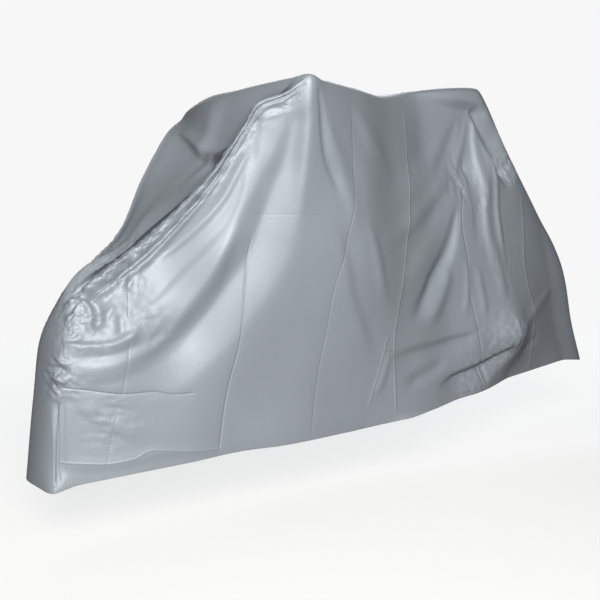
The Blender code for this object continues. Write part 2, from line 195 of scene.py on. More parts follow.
cover = {
    "rails": ("crown", "ridge", "flank", "knee", "hem"),
    # millimetres from one column of the mesh to the next, from each section to the one behind it
    "cells": (4.4, 5.0, 5.6, 6.2, 6.6, 6.4, 6.6, 8.6, 8.8, 6.8, 5.2, 6.0, 8.0, 8.6),
    "rows": (18, 52, 40, 26),             # crown-ridge, ridge-flank, flank-knee, knee-hem
    "lastRows": (0.985, 0.995),           # two close rows that keep the hem's edge crisp
    "crowding": 1.5,                      # how much the rows crowd towards the ridge
    "ridgeRounding": 0.10,
    "edgeCrispness": 1.0,                 # how sharply the front panel turns along its rolled edge
    "seamRounding": 2.4,                  # how round the two ends are where they cross the centre plane
    "seamFade": 12,                       # columns over which the folds run out towards those two ends
    # x of the front panel's front and rear end, each with the length of its fade
    "edgeEnds": ((-.80, .06), (-.365, .025)),
    "hollowEnds": ((-.80, .14), (-.365, .11)),
    "faceEnd": (-.36, .05),               # x where the folds of the face start, and the length of their fade
    "wallTop": (-.006, .014),             # metres below the ridge where the side folds start, and their fade
    "roofFade": .03,                      # metres from the ridge over which the folds on top come in
    "pathSteps": 8,                       # short straights from one point of a fold's path to the next
    "flankReach": 1.25,                   # a flank's whole width for its given width
    "crestPlace": 0.7,                    # a crest lies this share of its front flank behind the path
    "opening": 2.2,                       # how soon a fold that fans out is fully open, 1 for at its end
    "foot": 0.14,                         # softness where a flank runs out
    "hemTurn": 0.0006,                    # radius of the turned edge
    "hemTurnRows": 3,
    "hemDepth": 0.015,                    # how far the hem goes back up inside
    "hemCloth": 0.003,                    # cloth from one row to the next in the hem
    # x and z are metres from the point on the floor, y is the distance out from the centre plane. Slack is
    # how softly the rails pass a section, from 0 for a taut corner to 1.
    "sections": [
        sectionRow("prow", (-.766, .602), (-.809, .000, .537), (-.845, .000, .455), (-.869, .000, .330),
                   (-.890, .000, .163), 1.0),
        sectionRow("corner", (-.726, .632), (-.764, .041, .577), (-.832, .090, .450), (-.850, .091, .330),
                   (-.862, .090, .164), 0.15),
        sectionRow("cheek", (-.675, .672), (-.698, .063, .628), (-.740, .118, .465), (-.735, .126, .300),
                   (-.735, .132, .179), 1.0),
        sectionRow("bib", (-.630, .728), (-.625, .087, .690), (-.610, .131, .490), (-.590, .147, .300),
                   (-.590, .151, .186), 1.0),
        sectionRow("face", (-.560, .815), (-.530, .167, .810), (-.500, .180, .540), (-.470, .157, .320),
                   (-.455, .157, .191), 1.0),
        sectionRow("brow", (-.478, .905), (-.445, .222, .945), (-.415, .216, .620), (-.365, .177, .350),
                   (-.345, .172, .190), 0.7),
        sectionRow("horn", (-.385, 1.006), (-.360, .291, 1.006), (-.335, .238, .680), (-.290, .195, .390),
                   (-.270, .179, .192), 0.4),
        sectionRow("valley", (-.200, 1.002), (-.170, .207, 1.008), (-.160, .240, .690), (-.130, .205, .400),
                   (-.120, .191, .199), 0.9),
        sectionRow("waist", (.000, 1.000), (.010, .107, 1.006), (.025, .164, .680), (.050, .180, .390),
                   (.060, .202, .211), 1.0),
        sectionRow("rise", (.145, 1.034), (.150, .049, 1.029), (.175, .117, .670), (.200, .155, .380),
                   (.210, .175, .222), 0.8),
        sectionRow("summit", (.300, 1.050), (.285, .062, 1.044), (.300, .110, .670), (.315, .156, .380),
                   (.325, .161, .227), 1.0),
        sectionRow("tail", (.422, 1.052), (.378, .063, 1.038), (.425, .109, .650), (.455, .146, .385),
                   (.470, .113, .236), 0.5),
        sectionRow("haunch", (.552, .872), (.508, .065, .862), (.545, .095, .600), (.575, .119, .380),
                   (.600, .100, .244), 0.8),
        sectionRow("rump", (.692, .706), (.662, .036, .706), (.690, .062, .530), (.735, .054, .370),
                   (.765, .068, .247), 1.0),
        sectionRow("rear", (.784, .603), (.806, .000, .555), (.834, .000, .480), (.872, .000, .360),
                   (.913, .000, .228), 1.0),
    ],
    # what moves on the far side
    "farChanges": [
        changeRow("corner", "flank", (.020, -.012, .000)),
        changeRow("corner", "knee", (.040, -.030, .000)),
        changeRow("corner", "hem", (.045, -.025, -.006)),
        changeRow("cheek", "knee", (.020, -.015, .000)),
        changeRow("cheek", "hem", (.025, -.010, -.008)),
        changeRow("brow", "ridge", (.006, -.012, -.022)),
        changeRow("horn", "ridge", (.012, -.012, -.036)),
        changeRow("valley", "knee", (.000, -.020, .010)),
        changeRow("waist", "knee", (.000, -.025, .010)),
        changeRow("waist", "hem", (.000, -.015, -.006)),
        changeRow("haunch", "hem", (.010, .006, -.012)),
        changeRow("rump", "hem", (.010, .008, -.018)),
    ],
    # rolls along the front panel's edge, by their distance below the ridge
    "edgeRolls": [
        rollRow(-.0070, .0048, -.0130),
        rollRow(.0085, .0120, .0115),
        rollRow(.0275, .0048, -.0095),
        rollRow(.0400, .0080, .0075),
    ],
    # metres ahead of x = 0, and how full the rolls below the ridge are there
    "rollFullness": ((.38, .46, .62, .72), (.32, .45, 1.05, 1.35)),
    "farRollShare": 0.10,
    "rollUnevenness": 0.55,
    "rollPatch": 0.035,                   # length of a fuller or flatter stretch of a roll
    "rollShift": 40.0,                    # gives each roll its own stretches
    "panelHollow": 0.27,                  # how far the front panel sinks, as a share of half its width
    # A fold's path runs downwards, seen from the side, along the middle of its front or upper flank. Ahead
    # and behind are the widths of its two flanks, and a trough has its height below nought. Crest is how
    # round its top is, from .1 for a sharp one to .5. Spread is its share of size at the start, from which
    # it opens like a fan. Start and end are the shares of its length over which it comes in and runs out.
    "nearFolds": [
        # the big trough from the near horn, dark on its upper flank and lit on its lower one
        foldRow(((-.378, .965), (-.388, .905), (-.403, .843), (-.42, .801), (-.438, .752), (-.455, .709),
                 (-.473, .656), (-.513, .589), (-.564, .519), (-.625, .464), (-.687, .436), (-.749, .422)),
                .034, .06, -.0185, .14, .34, .06, .25),
        foldRow(((-.464, .733), (-.488, .695), (-.511, .648), (-.534, .598), (-.562, .55), (-.588, .512),
                 (-.626, .469), (-.686, .441), (-.751, .425), (-.807, .424), (-.831, .435)),
                .011, .02, .0058, .48, .6, .15, .15),
        foldRow(((-.487, .714), (-.523, .649), (-.554, .595), (-.589, .546), (-.627, .509), (-.66, .485)),
                .033, .013, .0039, .5, .6, .25, .3),
        foldRow(((-.444, .868), (-.46, .821), (-.47, .772), (-.489, .717), (-.526, .662), (-.569, .611),
                 (-.616, .558), (-.659, .528), (-.696, .502), (-.732, .48)),
                .009, .033, .0057, .45, .5, .15, .2),
        foldRow(((-.452, .887), (-.484, .824), (-.511, .772), (-.542, .729), (-.578, .687), (-.615, .651),
                 (-.643, .629)), .015, .007, -.0073, .14, .6, .15, .2),
        foldRow(((-.381, .984), (-.408, .958), (-.43, .931), (-.439, .887), (-.442, .846), (-.454, .804)),
                .009, .021, .0043, .33, .5, .1, .3),
        # behind the horn: a thin crease, a ridge beside it and the V that ends near the hem
        foldRow(((-.341, .994), (-.325, .951), (-.313, .9), (-.296, .848), (-.262, .795), (-.246, .75)),
                .007, .011, -.0068, .2, .5, .08, .3),
        foldRow(((-.31, .937), (-.288, .896), (-.261, .843), (-.235, .787), (-.212, .732), (-.204, .663)),
                .012, .022, .0044, .3, .5, .15, .35),
        foldRow(((-.251, .713), (-.222, .661), (-.197, .61), (-.172, .537), (-.137, .471), (-.104, .408),
                 (-.088, .36)), .017, .044, -.0072, .5, .5, .2, .3),
        foldRow(((-.162, .723), (-.127, .639), (-.098, .554), (-.064, .478)),
                .013, .014, .0039, .41, .6, .3, .4),
        # soft pulls across the hollow between horn and tail
        foldRow(((.25, .925), (.21, .88), (.15, .838), (.051, .792), (-.081, .752)),
                .036, .038, .0072, .5, .35, .12, .5),
        foldRow(((.265, .889), (.211, .809), (.122, .746), (0, .692), (-.12, .657)),
                .022, .018, .0066, .46, .4, .2, .5),
        foldRow(((.22, .744), (.152, .666), (.057, .589), (-.051, .528)),
                .025, .038, .0055, .44, .5, .25, .5),
        foldRow(((.296, .974), (.258, .914), (.214, .856), (.168, .795)),
                .019, .024, -.006, .37, .4, .12, .4),
        foldRow(((-.205, .983), (-.173, .924), (-.105, .853), (-.017, .781)),
                .021, .028, .0044, .43, .5, .2, .5),
        # the wall draws in below the summit, up to the fan
        foldRow(((.255, 1.03), (.248, .95), (.232, .87), (.195, .77)), .12, .05, -.026, .45, .9, .12, .45),
        # the fan below the tail
        foldRow(((.336, .985), (.323, .942), (.306, .896), (.283, .842), (.273, .781)),
                .007, .013, .0033, .23, .5, .1, .3),
        foldRow(((.304, .884), (.323, .817), (.332, .749), (.333, .68), (.332, .607)),
                .014, .016, -.0044, .34, .6, .2, .3),
        foldRow(((.362, .999), (.354, .934), (.357, .858), (.371, .776), (.368, .707), (.371, .652),
                 (.378, .589), (.382, .522)), .01, .017, .0058, .31, .5, .08, .25),
        foldRow(((.378, .967), (.403, .886), (.416, .804), (.415, .721), (.425, .637), (.433, .552)),
                .008, .01, .0044, .25, .5, .15, .3),
        foldRow(((.319, .579), (.322, .515), (.327, .462), (.316, .423)),
                .011, .011, .0036, .31, .8, .25, .25),
        foldRow(((.275, .601), (.278, .547), (.266, .482), (.246, .437)),
                .009, .008, .0036, .28, .8, .25, .25),
        foldRow(((.387, .651), (.397, .575), (.403, .502), (.405, .455)),
                .015, .016, .0046, .33, .8, .25, .25),
        foldRow(((.344, 1.004), (.375, .957), (.409, .901), (.444, .838), (.488, .774)),
                .022, .028, -.029, .3, .4, .1, .22),
        foldRow(((.269, .752), (.244, .687), (.204, .618), (.144, .559), (.09, .499), (.027, .455)),
                .022, .015, -.0135, .29, .45, .15, .25),
        foldRow(((.219, .583), (.18, .525), (.139, .476), (.083, .439)),
                .011, .021, .0073, .35, .7, .25, .3),
        foldRow(((.719, .481), (.6, .445), (.514, .413), (.446, .386)),
                .012, .022, .0044, .29, .8, .2, .15),
        foldRow(((.607, .363), (.542, .341), (.481, .319)), .011, .015, -.0022, .31, .8, .25, .25),
        # round the bulge above the rear of the hem
        foldRow(((.306, .392), (.238, .387), (.159, .379), (.056, .375), (-.013, .371), (-.06, .366)),
                .009, .033, -.0083, .33, .7, .12, .3),
        foldRow(((.446, .357), (.413, .336), (.363, .315), (.288, .298), (.194, .283), (.115, .264)),
                .007, .034, -.024, .22, .7, .12, .45),
        foldRow(((.191, .339), (.117, .323), (.052, .31), (-.005, .297)),
                .016, .013, -.0069, .33, .8, .25, .3),
        foldRow(((.279, .216), (.102, .207), (.017, .209), (-.046, .211)),
                .006, .014, .0084, .3, .9, .2, .25),
        foldRow(((.331, .303), (.336, .274), (.34, .241)), .005, .006, -.0064, .21, 1, .3, .25),
        foldRow(((.424, .445), (.435, .397), (.436, .355), (.416, .317)),
                .008, .007, .0047, .2, .9, .25, .25),
        foldRow(((-.042, .386), (-.062, .352), (-.079, .311), (-.096, .273)),
                .006, .009, .0039, .22, .8, .2, .3),
        # the low front: loop, short wrinkles and the corner
        foldRow(((-.673, .5), (-.701, .481), (-.732, .469), (-.762, .466), (-.789, .466), (-.817, .469),
                 (-.836, .468)), .006, .016, .0089, .14, 1, .2, .15),
        foldRow(((-.789, .543), (-.771, .551), (-.764, .542), (-.765, .519), (-.778, .492)),
                .006, .015, -.0119, .21, 1, .25, .2),
        foldRow(((-.809, .524), (-.79, .541), (-.774, .54), (-.771, .514), (-.788, .486)),
                .006, .007, .0104, .22, 1, .25, .2),
        foldRow(((-.719, .526), (-.718, .503), (-.724, .475)), .007, .007, -.0055, .29, 1, .3, .3),
        foldRow(((-.724, .548), (-.742, .523), (-.751, .503)), .006, .007, .006, .22, 1, .3, .3),
        foldRow(((-.846, .439), (-.84, .431), (-.824, .424)), .003, .004, .0033, .14, 1, .25, .25),
        foldRow(((-.853, .422), (-.845, .412), (-.827, .4)), .007, .009, -.0076, .2, 1, .25, .25),
        foldRow(((-.854, .403), (-.849, .395), (-.832, .383)), .006, .005, .0051, .16, 1, .25, .25),
        foldRow(((-.851, .361), (-.855, .314), (-.856, .262), (-.858, .209), (-.857, .179)),
                .004, .005, -.007, .17, 1, .15, .05),
        foldRow(((-.838, .373), (-.843, .313), (-.846, .251), (-.848, .191)),
                .003, .004, -.0045, .17, 1, .15, .05),
        foldRow(((-.851, .354), (-.858, .289), (-.86, .228), (-.862, .182)),
                .003, .005, .0017, .2, 1, .2, .1),
        foldRow(((-.823, .349), (-.778, .305), (-.731, .273), (-.668, .249)),
                .014, .017, .0028, .38, .9, .25, .3),
        foldRow(((-.852, .214), (-.803, .204), (-.754, .2), (-.696, .205), (-.637, .211), (-.576, .206),
                 (-.511, .203)), .009, .013, .0012, .35, 1, .15, .2),
    ],
    "farFolds": [
        foldRow(((-.36, .94), (-.37, .86), (-.39, .77), (-.42, .67), (-.47, .57), (-.54, .48), (-.63, .42)),
                .03, .06, .016, .45, .35, .1, .35),
        foldRow(((-.38, .91), (-.4, .82), (-.43, .72), (-.49, .61), (-.57, .52), (-.66, .46)),
                .02, .02, -.009, .45, .35, .15, .3),
        foldRow(((-.41, .87), (-.44, .76), (-.5, .66), (-.58, .57), (-.67, .51), (-.75, .48)),
                .022, .02, .011, .32, .4, .2, .25),
        foldRow(((-.35, .95), (-.34, .84), (-.33, .72), (-.34, .6), (-.36, .48)),
                .018, .026, .008, .4, .4, .1, .4),
        foldRow(((-.335, .95), (-.3, .86), (-.255, .77), (-.22, .66), (-.2, .56)),
                .012, .02, -.007, .32, .4, .1, .4),
        foldRow(((-.325, .95), (-.28, .87), (-.225, .77), (-.18, .66), (-.12, .52), (-.06, .41)),
                .02, .028, .011, .4, .4, .1, .35),
        foldRow(((-.12, .92), (-.08, .76), (-.03, .6), (.01, .46)), .035, .035, -.008, .45, .6, .3, .4),
        foldRow(((.35, 1), (.27, .86), (.2, .74), (.13, .62), (.07, .52)),
                .026, .032, .01, .4, .35, .15, .4),
        foldRow(((.36, .98), (.32, .84), (.28, .7), (.24, .58), (.18, .46)),
                .02, .026, .009, .32, .35, .15, .35),
        foldRow(((.375, .98), (.37, .84), (.38, .72), (.41, .6), (.43, .48)),
                .014, .02, .01, .32, .4, .1, .3),
        foldRow(((.36, .9), (.345, .78), (.34, .66), (.35, .54)), .012, .014, -.006, .32, .5, .3, .4),
        foldRow(((.4, .98), (.46, .88), (.53, .79), (.6, .7), (.66, .62)),
                .016, .016, .008, .32, .4, .1, .35),
        foldRow(((.43, .9), (.47, .76), (.5, .62), (.52, .5)), .014, .018, .006, .32, .5, .3, .3),
        foldRow(((.45, .39), (.36, .36), (.25, .335), (.13, .32)), .018, .022, .009, .32, .8, .2, .4),
        foldRow(((.45, .37), (.38, .31), (.29, .27), (.2, .25)), .012, .014, -.006, .32, .8, .2, .4),
        foldRow(((-.62, .36), (-.65, .29), (-.67, .22), (-.67, .165)), .03, .035, .01, .45, .8, .3, .1),
        foldRow(((.02, .44), (.05, .34), (.07, .26), (.08, .2)), .035, .04, .01, .45, .7, .3, .1),
        foldRow(((-.3, .42), (-.28, .32), (-.27, .24), (-.27, .18)), .03, .03, -.007, .45, .7, .3, .1),
        foldRow(((-.72, .52), (-.76, .5), (-.8, .48)), .01, .012, .005, .26, 1, .3, .3),
        foldRow(((-.8, .46), (-.79, .38), (-.79, .28), (-.8, .17)), .012, .014, .006, .32, .8, .3, .1),
        foldRow(((.6, .48), (.63, .38), (.66, .28), (.68, .22)), .02, .024, .006, .45, .8, .3, .1),
    ],
    # seen from the front, y towards the far side and z up
    "faceFolds": [
        foldRow(((.18, .933), (.127, .93), (.058, .92), (-.03, .902), (-.086, .891), (-.15, .875),
                 (-.19, .864)), .018, .007, .015, .14, .45, .14, .1),
        foldRow(((-.05, .884), (-.11, .864), (-.165, .842)), .016, .034, -.011, .3, .8, .3, .15),
        foldRow(((.12, .84), (.08, .77), (.04, .69), (.01, .62)), .022, .022, .003, .45, .8, .3, .4),
        foldRow(((-.17, .93), (-.12, .92), (-.02, .91), (.07, .925)), .018, .022, .003, .45, .6, .3, .3),
    ],
    # seen from above, x along the cover and y towards the far side
    "topFolds": [
        foldRow(((-.34, -.24), (-.18, -.15), (0, -.06), (.16, -.02)), .016, .022, .005, .4, .5, .2, .3),
        foldRow(((-.33, .23), (-.17, .15), (0, .07), (.15, .02)), .018, .022, .006, .4, .5, .2, .3),
        foldRow(((-.36, -.14), (-.2, -.08), (-.02, -.02), (.14, 0)), .018, .018, -.004, .45, .6, .25, .3),
        foldRow(((-.36, .12), (-.22, .06), (-.04, .03), (.12, .01)), .018, .018, .004, .45, .6, .25, .3),
    ],
    # places where the sheet is drawn out or in around a point
    "pulls": [
        pullRow((-.355, -.290, 1.000), .035, (.000, -.006, .012)),
        pullRow((-.435, -.225, .960), .035, (-.010, -.004, .012)),
        pullRow((.440, -.125, .375), .072, (.000, -.042, .000)),
        pullRow((.460, .123, .385), .050, (.000, .016, .000)),
        pullRow((.900, .000, .240), .070, (.006, .000, -.004)),
        pullRow((-.795, -.062, .515), .026, (-.003, -.007, .002)),
        pullRow((-.864, -.092, .164), .032, (-.006, -.012, -.005)),
    ],
}
print("cover: sizes read")


# The smooth sheet before its folds.

def unitVectors(vectors):
    return vectors / np.maximum(np.linalg.norm(vectors, axis=-1, keepdims=True), 1e-9)


def easeIn(value):    # 0 below 0, 1 above 1, with a soft start and end
    held = np.clip(value, 0.0, 1.0)
    return held * held * (3 - 2 * held)


# points of a cubic at the given shares of its length
def hermite(start, end, startTangent, endTangent, share):
    t = np.asarray(share, float)[:, None]
    return ((2 * t**3 - 3 * t**2 + 1) * start + (t**3 - 2 * t**2 + t) * startTangent
            + (3 * t**2 - 2 * t**3) * end + (t**3 - t**2) * endTangent)


def railKeys(rail, changes):
    sections = cover["sections"]
    if rail == "crown":
        return np.array([(row.crown[0], 0.0, row.crown[1]) for row in sections])
    keys = np.array([getattr(row, rail) for row in sections])
    names = [row.name for row in sections]
    for change in changes:
        if change.rail == rail:
            keys[names.index(change.section)] += change.move
    return keys


def fairRail(rail, keys, stations, counts):
    last = len(keys) - 1
    slopes = np.zeros_like(keys)
    for i in range(1, last):
        before = (keys[i] - keys[i - 1]) / (stations[i] - stations[i - 1])
        after = (keys[i + 1] - keys[i]) / (stations[i + 1] - stations[i])
        weight = (stations[i] - stations[i - 1]) / (stations[i + 1] - stations[i - 1])
        slopes[i] = (before * (1 - weight) + after * weight) * cover["sections"][i].slack
    slopes[0] = (keys[1] - keys[0]) / (stations[1] - stations[0])
    slopes[last] = (keys[last] - keys[last - 1]) / (stations[last] - stations[last - 1])
    if rail != "crown":
        slopes[0] *= (0.0, cover["seamRounding"], 0.0)
        slopes[last] *= (0.0, cover["seamRounding"], 0.0)
    runs = []
    for i in range(last):
        gap = stations[i + 1] - stations[i]
        share = np.arange(counts[i]) / counts[i]
        runs.append(hermite(keys[i], keys[i + 1], slopes[i] * gap, slopes[i + 1] * gap, share))
    return np.concatenate(runs + [keys[last:]])


def between(x, ends):    # 1 between the two ends, fading out inside them
    (front, frontFade), (rear, rearFade) = ends
    return easeIn((rear - x) / rearFade) * easeIn((x - front) / frontFade)


# a line of the sheet from crown to hem, its rows crowded at the ridge
def fairColumn(keys, crownDirection):
    first = keys[1] - keys[0]
    slopes = np.zeros_like(keys)
    slopes[0] = crownDirection * np.dot(first, crownDirection) + np.array((0.0, first[1], 0.0))
    slopes[1] = unitVectors(unitVectors(keys[1] - keys[0]) + unitVectors(keys[2] - keys[1]))
    slopes[2] = (keys[3] - keys[1]) / 2
    slopes[3] = (keys[4] - keys[2]) / 2
    slopes[4] = keys[4] - keys[3]
    rounding = cover["ridgeRounding"]
    topTurn = slopes[1] * min(rounding, np.linalg.norm(first))
    slopes[1] = slopes[1] * rounding
    crisp = cover["edgeCrispness"] * between(keys[1][0], cover["edgeEnds"])
    topTurn = topTurn * (1 - crisp) + first * crisp
    slopes[1] = slopes[1] * (1 - crisp) + unitVectors(keys[2] - keys[1]) * rounding * crisp
    shares = [np.arange(count) / count for count in cover["rows"]]
    shares[0] = 1 - (1 - shares[0]) ** cover["crowding"]
    shares[1] = shares[1] ** cover["crowding"]
    shares[3] = np.append(shares[3], cover["lastRows"])
    runs = [hermite(keys[0], keys[1], slopes[0], topTurn, shares[0])]
    for j in (1, 2, 3):
        runs.append(hermite(keys[j], keys[j + 1], slopes[j], slopes[j + 1], shares[j]))
    return np.concatenate(runs + [keys[4:]])


def columnCounts():    # columns in each gap between sections, the same on both sides so that they meet
    keys = np.stack([railKeys(rail, ()) for rail in cover["rails"]], axis=1)
    steps = np.linalg.norm(np.diff(keys, axis=0), axis=-1).mean(axis=1)
    return [int(round(1000 * step / cell)) for step, cell in zip(steps, cover["cells"])]


def smoothPanel(changes):
    keys = np.stack([railKeys(rail, changes) for rail in cover["rails"]], axis=1)
    steps = np.linalg.norm(np.diff(keys, axis=0), axis=-1).mean(axis=1)
    stations = np.concatenate(([0.0], np.cumsum(steps)))
    counts = columnCounts()
    curves = [fairRail(rail, keys[:, i], stations, counts) for i, rail in enumerate(cover["rails"])]
    curves = np.stack(curves, axis=1)
    directions = unitVectors(np.gradient(curves[:, 0], axis=0))
    return np.stack([fairColumn(curves[i], directions[i]) for i in range(len(curves))])


def outwardNormals(panel):
    return unitVectors(np.cross(np.gradient(panel, axis=0), np.gradient(panel, axis=1)))


# Folds.

def smoothPath(points):    # a Catmull-Rom curve through a fold's points
    steps = cover["pathSteps"]
    knots = np.array(points, float)
    ends = np.concatenate(([2 * knots[0] - knots[1]], knots, [2 * knots[-1] - knots[-2]]))
    t = (np.arange(steps) / steps)[:, None]
    runs = []
    for i in range(len(knots) - 1):
        a, b, c, d = ends[i:i + 4]
        runs.append(0.5 * (2 * b + (c - a) * t + (2 * a - 5 * b + 4 * c - d) * t**2
                           + (3 * b - a - 3 * c + d) * t**3))
    return np.concatenate(runs + [knots[-1:]])


# how far points seen in a plane are from a path, positive behind it, and their share of the way along it
def pathOffsets(seen, path):
    line = smoothPath(path)
    lengths = np.concatenate(([0.0], np.cumsum(np.linalg.norm(np.diff(line, axis=0), axis=1))))
    nearest = np.full(seen.shape[:-1], np.inf)
    offset = np.zeros(seen.shape[:-1])
    along = np.zeros(seen.shape[:-1])
    for i in range(len(line) - 1):
        run = line[i + 1] - line[i]
        away = seen - line[i]
        share = np.clip((away @ run) / max(run @ run, 1e-12), 0, 1)
        rest = away - share[..., None] * run
        distance = np.hypot(rest[..., 0], rest[..., 1])
        side = np.sign(run[0] * away[..., 1] - run[1] * away[..., 0])
        closer = distance < nearest
        nearest = np.where(closer, distance, nearest)
        offset = np.where(closer, distance * side, offset)
        along = np.where(closer, (lengths[i] + share * (lengths[i + 1] - lengths[i])) / lengths[-1], along)
    return offset, along


def pleat(share, crest):    # a pleat across: even flanks from -1 to 1, a rounded crest and a soft foot
    slope = 1 - np.sqrt(share * share + crest * crest) + crest
    return (slope + np.sqrt(slope * slope + cover["foot"] ** 2)) / 2


def foldLift(seen, fold):    # how far one fold raises each point
    offset, along = pathOffsets(seen, fold.path)
    opened = fold.spread + (1 - fold.spread) * easeIn(along * cover["opening"])
    offset = offset - cover["crestPlace"] * fold.ahead * opened
    width = np.where(offset < 0, fold.ahead, fold.behind) * opened
    swell = easeIn(along / fold.start) * easeIn((1 - along) / fold.end)
    return fold.height * opened * swell * pleat(offset / (cover["flankReach"] * width), fold.crest)


# smooth noise on an array of points, with features of about this size in metres
def noiseField(points, size, shift):
    flat = (points / size + shift).reshape(-1, 3)
    values = [noise.noise(Vector(p)) for p in flat]
    return np.array(values).reshape(points.shape[:-1])


crumple = {
    # places seen from the side, as x, z, reach and strength, where the sheet is bunched into small facets
    "nearZones": [(-.795, .515, .060, 1.0), (-.70, .60, .050, .8), (-.64, .66, .035, .6),
                  (.29, .80, .050, 1.4), (.36, .75, .040, .8), (.40, .37, .075, .9), (.28, .27, .060, .5),
                  (-.66, .50, .050, .35), (-.85, .40, .045, .8), (.49, .84, .05, .8), (-.75, .30, .06, .3),
                  (.45, .55, .08, .25)],
    "farZones": [(-.76, .54, .070, .9), (-.66, .63, .050, .7), (.32, .82, .060, .8), (.40, .36, .080, .6),
                 (.50, .85, .050, .5), (-.82, .36, .06, .5)],
    "belowRidge": 0.014,      # middle of the bunched strip along the rolled edge, and its reach
    "stripReach": 0.022,
    "size": 0.018,            # across a facet
    "height": 0.0050,
    "sharpness": 2.6,         # how steeply a facet's flanks fall from its crease
    "fineShare": 0.5,         # size and height of the finer facets in the larger ones
    "level": 0.8,             # facets lower than this go in, higher ones come out
    "slackSize": 0.13,        # the soft unevenness of the whole sheet
    "slackHeight": 0.0022,
    "tautReach": 0.05,        # metres from the ridge within which the slack runs out
    # for the facets, the finer ones among them and the slack
    "seeds": {"near": (11.3, 16.3, 20.3), "far": (3.7, 8.7, 12.7)},
}


def crinkleMask(panel, zones):
    mask = np.zeros(panel.shape[:2])
    for x, z, reach, strength in zones:
        distance = np.hypot(panel[..., 0] - x, panel[..., 2] - z)
        mask = np.maximum(mask, strength * np.exp(-(distance / reach) ** 2))
    return mask


# one side of the sheet with its folds, and what its material needs to know
def foldedSide(name, side, changes):
    panel = smoothPanel(changes)
    columns = len(panel)
    ridgeRow = cover["rows"][0]
    steps = np.linalg.norm(np.diff(panel, axis=1), axis=-1)
    down = np.concatenate((np.zeros((columns, 1)), np.cumsum(steps, axis=1)), axis=1)
    halfWidth = down[:, ridgeRow:ridgeRow + 1]
    fromRidge = down - halfWidth
    alongSteps = np.linalg.norm(np.diff(panel, axis=0), axis=-1).mean(axis=1)
    along = np.concatenate(([0.0], np.cumsum(alongSteps)))
    uv = np.stack((np.broadcast_to(along[:, None], down.shape), down), axis=-1)
    sideView = panel[..., [0, 2]]
    signed = panel * (1, side, 1)
    wallStart, wallFade = cover["wallTop"]
    wall = easeIn((fromRidge - wallStart) / wallFade)
    lift = sum(foldLift(sideView, fold) for fold in cover[name + "Folds"]) * wall
    faceRear, faceFade = cover["faceEnd"]
    frontShare = easeIn((faceRear - panel[..., 0]) / faceFade)
    roof = easeIn(-fromRidge / cover["roofFade"])
    lift += sum(foldLift(signed[..., [1, 2]], fold) for fold in cover["faceFolds"]) * roof * frontShare
    lift += sum(foldLift(signed[..., [0, 1]], fold) for fold in cover["topFolds"]) * roof * (1 - frontShare)
    # the rolled edge of the front panel, small at the horn and fuller towards the front
    ridgeX = panel[:, ridgeRow, 0]
    edge = between(ridgeX, cover["edgeEnds"])[:, None]
    fullness = np.interp(-ridgeX, *cover["rollFullness"])[:, None]
    sideShare = 1.0 if name == "near" else cover["farRollShare"]
    for roll in cover["edgeRolls"]:
        size = 1.0 if roll.centre < 0 else fullness
        across = (fromRidge - roll.centre * size) / (roll.width * size)
        stretches = noiseField(panel, cover["rollPatch"], cover["rollShift"] * roll.centre)
        patches = 1 + cover["rollUnevenness"] * stretches
        lift += sideShare * edge * patches * roll.height * size * np.exp(-across * across)
    # the front panel sinks between its edges
    hollowShare = between(ridgeX, cover["hollowEnds"])[:, None]
    toCrown = np.clip(-fromRidge / np.maximum(halfWidth, 1e-9), 0.0, 1.0)
    lift -= cover["panelHollow"] * halfWidth * toCrown * (2 - toCrown) * hollowShare
    # small facets where the sheet is bunched, and a little slack everywhere
    strip = np.exp(-((fromRidge - crumple["belowRidge"]) / crumple["stripReach"]) ** 2)
    mask = np.maximum(crinkleMask(panel, crumple[name + "Zones"]), sideShare * edge * strip)
    facetSeed, fineSeed, slackSeed = crumple["seeds"][name]
    sharpness = crumple["sharpness"]
    fine = crumple["fineShare"]
    facets = 1 - sharpness * np.abs(noiseField(panel, crumple["size"], facetSeed))
    facets += fine * (1 - sharpness * np.abs(noiseField(panel, crumple["size"] * fine, fineSeed)))
    lift += mask * crumple["height"] * (facets - crumple["level"])
    slack = crumple["slackHeight"] * noiseField(panel, crumple["slackSize"], slackSeed)
    lift += slack * easeIn(abs(fromRidge) / crumple["tautReach"])
    atSeam = np.minimum(np.arange(columns), np.arange(columns)[::-1])
    lift *= easeIn(atSeam / cover["seamFade"])[:, None]
    normals = outwardNormals(panel)
    moved = (panel + normals * lift[..., None]) * (1, side, 1)
    for pull in cover["pulls"]:
        distance = np.linalg.norm(moved - np.array(pull.centre), axis=-1)
        moved += np.exp(-(distance / pull.reach) ** 2)[..., None] * np.array(pull.push)
    return {"points": moved, "uv": uv, "sideView": sideView, "fromRidge": fromRidge, "crinkle": mask,
            "rolledEdge": sideShare * edge * np.ones_like(mask)}


